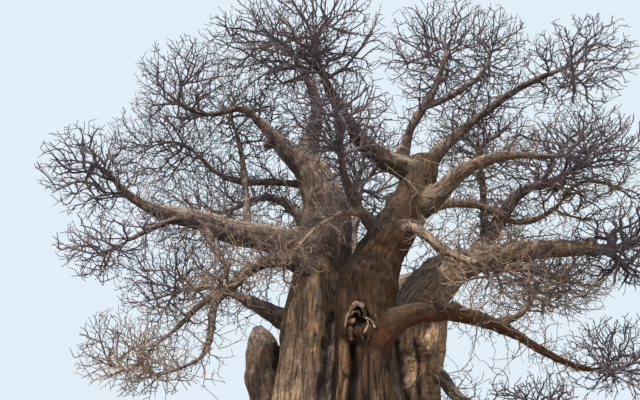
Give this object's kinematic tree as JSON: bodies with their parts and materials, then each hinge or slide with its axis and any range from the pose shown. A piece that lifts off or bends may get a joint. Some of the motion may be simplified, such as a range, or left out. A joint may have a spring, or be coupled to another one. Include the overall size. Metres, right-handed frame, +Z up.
{
  "type": "baobab tree",
  "caption": "Great bare baobab: stems grown into one flared, fluted trunk, thick boughs from low down and a wide crown of leafless twigs.",
  "frame": {"origin": "on the level ground under the trunk, on the trunk's flat cut", "axes": "+Z up; +X to the right and +Y away for someone who faces the side that the picture shows"},
  "size_m": [23.9162, 15.7335, 17.3709],
  "materials": {
    "bark": "matt, smooth folded bark, grey on top and orange brown below",
    "twigs": "matt thin bare twigs"
  },
  "bodies": {
    "root": {"crown_left_bough": "bark", "crown_left_twigs": "twigs", "crown_middle_bough": "bark", "crown_middle_fork": "bark", "crown_middle_fork_twigs": "twigs", "crown_middle_twigs": "twigs", "crown_right_bough": "bark", "crown_right_twigs": "twigs", "drooping_bough": "bark", "drooping_twigs": "twigs", "front_right_bough": "bark", "front_right_twigs": "twigs", "great_left_upright": "bark", "kinked_left_bough": "bark", "kinked_left_twigs": "twigs", "leaning_bough": "bark", "left_great_bough": "bark", "left_great_fork": "bark", "left_great_fork_twigs": "twigs", "left_great_twigs": "twigs", "left_hanging_bough": "bark", "left_hanging_twigs": "twigs", "left_inner_upright": "bark", "left_inner_upright_twigs": "twigs", "left_low_bough": "bark", "left_low_drop": "bark", "left_low_drop_twigs": "twigs", "left_low_reach": "bark", "left_low_reach_twigs": "twigs", "left_middle_bough": "bark", "left_middle_twigs": "twigs", "left_shaded_bough": "bark", "left_shaded_twigs": "twigs", "rear_left_bough": "bark", "rear_left_twigs": "twigs", "rear_middle_bough": "bark", "rear_middle_twigs": "twigs", "rear_right_bough": "bark", "rear_right_twigs": "twigs", "rear_right_upright": "bark", "rear_right_upright_twigs": "twigs", "right_fork_bough": "bark", "right_fork_twigs": "twigs", "right_great_bough": "bark", "right_great_twigs": "twigs", "right_ground_bough": "bark", "right_ground_twigs": "twigs", "right_inner_bough": "bark", "right_inner_twigs": "twigs", "right_light_bough": "bark", "right_light_twigs": "twigs", "right_low_bough": "bark", "right_low_fork": "bark", "right_low_fork_twigs": "twigs", "right_low_twigs": "twigs", "slender_bough": "bark", "slender_twigs": "twigs", "tall_left_bough": "bark", "tall_left_twigs": "twigs", "trunk": "bark"}
  },
  "joints": []
}
